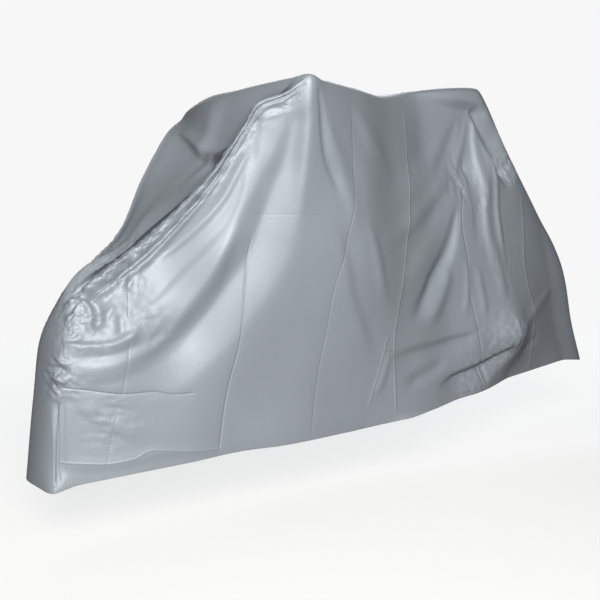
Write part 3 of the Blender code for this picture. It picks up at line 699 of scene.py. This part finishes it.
# package creases: the sheet was sold folded, so creases cross it a quarter of a metre apart
creaseRow = namedtuple("creaseRow", "path relief")
creases = {
    # each crease is seen from the side, and its relief is above nought for a ridge and below for a trough
    "height": 0.0013,
    "halfWidth": 0.009,
    "unevenness": 0.75,
    "patchScale": 9.0,        # clearer and fainter stretches to a metre
    "seed": 3.0,
    "endFade": 0.06,          # share of its length over which a crease fades at each end
    "reach": 0.040,           # metres to each side of a crease where the sheet carries it
    "reachFade": 0.012,
    "farthest": 0.05,         # the largest distance that is kept
    "wallFade": 0.02,         # metres below the ridge over which the creases come in
    "nearAcross": [
        creaseRow(((-.675, .63), (-.688, .57), (-.698, .51)), -.6),
        creaseRow(((-.7, .47), (-.712, .4), (-.722, .35)), -.4),
        creaseRow(((-.735, .31), (-.75, .25), (-.762, .19)), -.3),
        creaseRow(((-.445, .69), (-.456, .63), (-.459, .565), (-.463, .45), (-.484, .34),
                   (-.508, .19)), -1),
        creaseRow(((-.205, .97), (-.204, .85), (-.2, .757), (-.216, .643), (-.239, .553), (-.247, .459),
                   (-.26, .364), (-.272, .19)), -.6),
        creaseRow(((.078, .99), (.075, .956), (.068, .88), (.051, .753), (.026, .628), (-.007, .507),
                   (-.027, .399), (-.025, .21)), 1),
        creaseRow(((.307, .806), (.286, .736), (.282, .669), (.29, .589), (.286, .503), (.302, .409),
                   (.326, .23)), -1),
        creaseRow(((.543, .785), (.547, .697), (.54, .577), (.552, .484), (.572, .438), (.565, .326),
                   (.57, .24)), .9),
        creaseRow(((-.045, .42), (-.053, .414), (-.085, .331), (-.112, .246)), .7),
    ],
    "nearAlong": [
        creaseRow(((.14, .725), (-.046, .725), (-.214, .721), (-.35, .727), (-.414, .727),
                   (-.47, .728)), -.15),
        creaseRow(((-.555, .34), (-.61, .342), (-.653, .352), (-.723, .355), (-.8, .371), (-.85, .38)), -1),
        creaseRow(((-.49, .205), (-.575, .212), (-.663, .226), (-.7, .214), (-.754, .209), (-.807, .215),
                   (-.86, .222)), .5),
    ],
    "farAcross": [
        creaseRow(((-.67, .64), (-.69, .54), (-.71, .42), (-.73, .3), (-.75, .17)), .8),
        creaseRow(((-.455, .9), (-.46, .72), (-.465, .52), (-.475, .36), (-.49, .18)), -1),
        creaseRow(((-.2, .98), (-.205, .8), (-.215, .6), (-.235, .42), (-.25, .19)), .8),
        creaseRow(((.06, .98), (.055, .8), (.04, .6), (.02, .42), (.015, .2)), -1),
        creaseRow(((.31, 1.02), (.305, .85), (.3, .65), (.3, .45), (.31, .22)), .8),
        creaseRow(((.55, .86), (.55, .7), (.555, .55), (.56, .4), (.57, .24)), -.9),
    ],
    "farAlong": [
        creaseRow(((.5, .71), (.3, .715), (.05, .72), (-.2, .715), (-.42, .71), (-.58, .7)), -.5),
        creaseRow(((.6, .355), (.35, .35), (.05, .345), (-.25, .345), (-.55, .35), (-.84, .37)), .7),
    ],
}


# signed distance to the nearest crease, and its strength close by
def creaseFields(sideView, wall, creaseRows):
    best = np.full(sideView.shape[:2], 1.0)
    strength = np.zeros(sideView.shape[:2])
    for crease in creaseRows:
        offset, along = pathOffsets(sideView, crease.path)
        atEnd = easeIn(along / creases["endFade"]) * easeIn((1 - along) / creases["endFade"])
        closer = np.abs(offset) < np.abs(best)
        best = np.where(closer, offset, best)
        strength = np.where(closer, crease.relief * atEnd, strength)
    closeBy = easeIn((creases["reach"] - np.abs(best)) / creases["reachFade"])
    return np.clip(best, -creases["farthest"], creases["farthest"]), strength * wall * closeBy


# the edge rolled over and turned back up inside, for each column
def hemRows(points, normals):
    below = unitVectors(points[:, -1] - points[:, -3])
    radius = cover["hemTurn"]
    inward = -normals
    rolled = []
    for angle in np.linspace(0.0, np.pi, cover["hemTurnRows"] + 1)[1:]:
        rolled.append(points[:, -1] + below * radius * np.sin(angle) + inward * radius * (1 - np.cos(angle)))
    turned = rolled[-1]
    for share in (0.5, 1.0):
        rolled.append(turned - below * cover["hemDepth"] * share)
    return np.stack(rolled, axis=1)


# what each point of the sheet carries for its material and its creases
sheetFields = ("crinkle", "fromRidge", "rolledEdge",
               "acrossOffset", "acrossStrength", "alongOffset", "alongStrength")


def buildSheet():
    near = foldedSide("near", -1, ())
    far = foldedSide("far", 1, cover["farChanges"])
    columns, rows = near["points"].shape[:2]
    onSeam = np.zeros((columns, rows), bool)
    onSeam[:, 0] = onSeam[0] = onSeam[-1] = True
    shared = (near["points"] + far["points"]) / 2
    shared[..., 1] = 0.0
    for half in (near, far):
        half["points"] = np.where(onSeam[..., None], shared, half["points"])
    for half, side, name in ((near, -1, "near"), (far, 1, "far")):
        upright = half["points"] * (1, side, 1)
        normals = outwardNormals(upright)[:, -1] * (1, side, 1)
        half["points"] = np.concatenate((half["points"], hemRows(half["points"], normals)), axis=1)
        extra = half["points"].shape[1] - rows
        wall = easeIn(half["fromRidge"] / creases["wallFade"])
        for way in ("across", "along"):
            offset, strength = creaseFields(half["sideView"], wall, creases[name + way.capitalize()])
            half[way + "Offset"] = offset
            half[way + "Strength"] = strength
        for key in sheetFields:
            half[key] = np.concatenate((half[key], np.repeat(half[key][:, -1:], extra, axis=1)), axis=1)
        hem = half["uv"][:, -1:] + np.arange(1, extra + 1)[None, :, None] * (0.0, cover["hemCloth"])
        half["uv"] = np.concatenate((half["uv"], hem), axis=1)
    allRows = near["points"].shape[1]
    mesh = bmesh.new()
    layers = {key: mesh.verts.layers.float.new(key) for key in sheetFields}
    uvLayer = mesh.loops.layers.uv.new("clothUV")
    grids = []
    for half in (near, far):
        grid = {}
        for i in range(columns):
            for j in range(allRows):
                seam = j == 0 or i in (0, columns - 1)
                if seam and grids:
                    grid[i, j] = grids[0][i, j]
                    continue
                vertex = mesh.verts.new(half["points"][i, j] - summit)
                for key, layer in layers.items():
                    vertex[layer] = float(half[key][i, j])
                grid[i, j] = vertex
        grids.append(grid)
        for i in range(columns - 1):
            for j in range(allRows - 1):
                corners = [(i, j), (i, j + 1), (i + 1, j + 1), (i + 1, j)]
                if half is far:
                    corners.reverse()
                face = mesh.faces.new([grid[corner] for corner in corners])
                face.smooth = True
                for loop, corner in zip(face.loops, corners):
                    u, v = half["uv"][corner]
                    loop[uvLayer].uv = (u, v if half is near else -v)
    sheetData = bpy.data.meshes.new("cover_sheet")
    mesh.to_mesh(sheetData)
    mesh.free()
    sheet = bpy.data.objects.new("cover_sheet", sheetData)
    bpy.context.scene.collection.objects.link(sheet)
    triangles = 2 * len(sheetData.polygons)
    print("cover: sheet of", triangles, "triangles,", columns, "columns by", allRows, "rows")
    return sheet


# Package creases raised by Geometry Nodes from the distance that each point carries.

creaseInputs = {
    "Crease height": "height",
    "Crease half width": "halfWidth",
    "Unevenness": "unevenness",
    "Patch scale": "patchScale",
    "Seed": "seed",
}


# a bell over each crease, as high as the crease is strong; read gives what the sheet carries by its name
def creaseLine(tree, read, halfWidth):
    reliefs = []
    for way in ("across", "along"):
        away = combine(tree, "DIVIDE", read(way + "Offset"), halfWidth)
        square = combine(tree, "MULTIPLY", away, away)
        bell = combine(tree, "EXPONENT", combine(tree, "MULTIPLY", square, -1.0))
        reliefs.append(combine(tree, "MULTIPLY", bell, read(way + "Strength")))
    return combine(tree, "ADD", reliefs[0], reliefs[1])


def creaseTree():
    tree = bpy.data.node_groups.new("packageCreases", "GeometryNodeTree")
    tree.interface.new_socket("Geometry", in_out="INPUT", socket_type="NodeSocketGeometry")
    for name in creaseInputs:
        tree.interface.new_socket(name, in_out="INPUT", socket_type="NodeSocketFloat")
    tree.interface.new_socket("Material", in_out="INPUT", socket_type="NodeSocketMaterial")
    tree.interface.new_socket("Geometry", in_out="OUTPUT", socket_type="NodeSocketGeometry")
    given = addNode(tree, "NodeGroupInput").outputs

    def read(name):
        return addNode(tree, "GeometryNodeInputNamedAttribute", values={"Name": name}).outputs[0]

    patch = addNode(tree, "ShaderNodeTexNoise", {"noise_dimensions": "4D"}, {"Detail": 1.0},
                    {"W": given["Seed"], "Scale": given["Patch scale"]})
    uneven = combine(tree, "MULTIPLY", patch.outputs[0], given["Unevenness"])
    kept = combine(tree, "SUBTRACT", 1.0, uneven)
    line = creaseLine(tree, read, given["Crease half width"])
    height = combine(tree, "MULTIPLY", combine(tree, "MULTIPLY", line, kept), given["Crease height"])
    normal = addNode(tree, "GeometryNodeInputNormal").outputs[0]
    push = addNode(tree, "ShaderNodeVectorMath", {"operation": "SCALE"}, links={0: normal, "Scale": height})
    moved = addNode(tree, "GeometryNodeSetPosition",
                    links={"Geometry": given["Geometry"], "Offset": push.outputs[0]})
    real = addNode(tree, "GeometryNodeRealizeInstances", links={"Geometry": moved.outputs[0]})
    painted = addNode(tree, "GeometryNodeSetMaterial",
                      links={"Geometry": real.outputs[0], "Material": given["Material"]})
    addNode(tree, "NodeGroupOutput", links={0: painted.outputs[0]})
    return tree


def raiseCreases(sheet, material):
    modifier = sheet.modifiers.new("packageCreases", "NODES")
    modifier.node_group = creaseTree()
    wanted = {name: creases[key] for name, key in creaseInputs.items()}
    wanted["Material"] = material
    for item in modifier.node_group.interface.items_tree:
        if item.in_out == "INPUT" and item.name in wanted:
            modifier[item.identifier] = wanted[item.name]
    evaluated = sheet.evaluated_get(bpy.context.evaluated_depsgraph_get())
    finished = bpy.data.meshes.new_from_object(evaluated)
    sheet.modifiers.remove(modifier)
    sheet.data = finished
    print("cover: package creases raised")


# The sheet's material.

silver = {
    "body": "#8C939B",
    "cloudy": "#848B93",
    "worn": "#A6AFB5",        # whitened along the package creases
    "paintedGapShade": "#4C5258",       # painted shade: the shadow in the gap behind the rolled edge, drawn as a dark colour
    "metallic": 0.18,
    "refraction": 1.49,
    "roughness": (0.49, 0.61),
    "cloud": 160.0,           # mm across a patch of uneven colour
    "cloudDetail": 3.0,
    "whitening": 0.22,
    "creaseWidth": 2.2,       # mm to each side of a package crease
    "creaseDepth": (0.7, 0.0016),     # of a bump: its strength, and its height in metres
    "grain": 3.0,             # mm across a bump of the embossing; really 0.5, drawn coarser so that it shows
    "grainDepth": (0.5, 0.0008),
    "wrinkle": 9.0,           # mm across a small facet
    "wrinkleDetail": 2.0,
    "wrinkleDepth": (0.9, 0.0020),
    "gap": (-0.0175, 0.0135),         # metres below the ridge of the painted shade band's middle, and its half width
}


def relief(tree, depth, height, under):    # a bump of this depth on top of the ones under it
    strength, distance = depth
    bump = addNode(tree, "ShaderNodeBump", values={"Strength": strength, "Distance": distance},
                   links={"Height": height, **under})
    return {"Normal": bump.outputs[0]}


# calendered PEVA film filled with aluminium powder: soft satin shine, a faint grain, paler along its
# creases, and painted shade in the gap behind the rolled edge
def silverSheet():
    material = bpy.data.materials.new("calendered silver PEVA sheet")
    material.use_nodes = True
    tree = material.node_tree
    shader = tree.nodes["Principled BSDF"]
    shader.inputs["Metallic"].default_value = silver["metallic"]
    shader.inputs["IOR"].default_value = silver["refraction"]
    place = addNode(tree, "ShaderNodeTexCoord").outputs["Object"]

    def read(name):
        return addNode(tree, "ShaderNodeAttribute", {"attribute_name": name}).outputs["Fac"]

    # colour: slow clouds, the whitened creases and the painted shade in the gap behind the rolled edge
    clouds = addNode(tree, "ShaderNodeTexNoise",
                     values={"Scale": 1000 / silver["cloud"], "Detail": silver["cloudDetail"]},
                     links={"Vector": place}).outputs["Fac"]
    body = addNode(tree, "ShaderNodeMix", {"data_type": "RGBA"},
                   {6: fromHex(silver["body"]), 7: fromHex(silver["cloudy"])}, {0: clouds})
    line = creaseLine(tree, read, silver["creaseWidth"] / 1000)
    fade = combine(tree, "MULTIPLY", combine(tree, "MAXIMUM", line, 0.0), silver["whitening"])
    colour = addNode(tree, "ShaderNodeMix", {"data_type": "RGBA"}, {7: fromHex(silver["worn"])},
                     {0: fade, 6: body.outputs[2]})
    # painted shade: the colour is darkened in a band behind the rolled edge, standing in for the shadow in
    # that gap
    gapShadeBand = combine(tree, "COMPARE", read("fromRidge"), *silver["gap"])
    paintedGapShade = combine(tree, "MULTIPLY", gapShadeBand, read("rolledEdge"))
    gapShadedColour = addNode(tree, "ShaderNodeMix", {"data_type": "RGBA"}, {7: fromHex(silver["paintedGapShade"])},
                   {0: paintedGapShade, 6: colour.outputs[2]})
    tree.links.new(gapShadedColour.outputs[2], shader.inputs["Base Color"])
    smoothest, roughest = silver["roughness"]
    rough = addNode(tree, "ShaderNodeMapRange", values={"To Min": smoothest, "To Max": roughest},
                    links={"Value": clouds})
    tree.links.new(rough.outputs["Result"], shader.inputs["Roughness"])
    # relief: embossed grain, small facets where it is bunched, and the sharp middle of each crease
    grain = addNode(tree, "ShaderNodeTexNoise", values={"Scale": 1000 / silver["grain"], "Detail": 1.0},
                    links={"Vector": place})
    facets = addNode(tree, "ShaderNodeTexNoise", {"noise_type": "RIDGED_MULTIFRACTAL"},
                     {"Scale": 1000 / silver["wrinkle"], "Detail": silver["wrinkleDetail"]},
                     {"Vector": place})
    bunched = combine(tree, "MULTIPLY", facets.outputs["Fac"], read("crinkle"))
    under = relief(tree, silver["grainDepth"], grain.outputs["Fac"], {})
    under = relief(tree, silver["wrinkleDepth"], bunched, under)
    under = relief(tree, silver["creaseDepth"], line, under)
    tree.links.new(under["Normal"], shader.inputs["Normal"])
    return material


sheetMaterial = silverSheet()
sheet = buildSheet()
raiseCreases(sheet, sheetMaterial)

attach(sheet, "root")
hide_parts("cover")
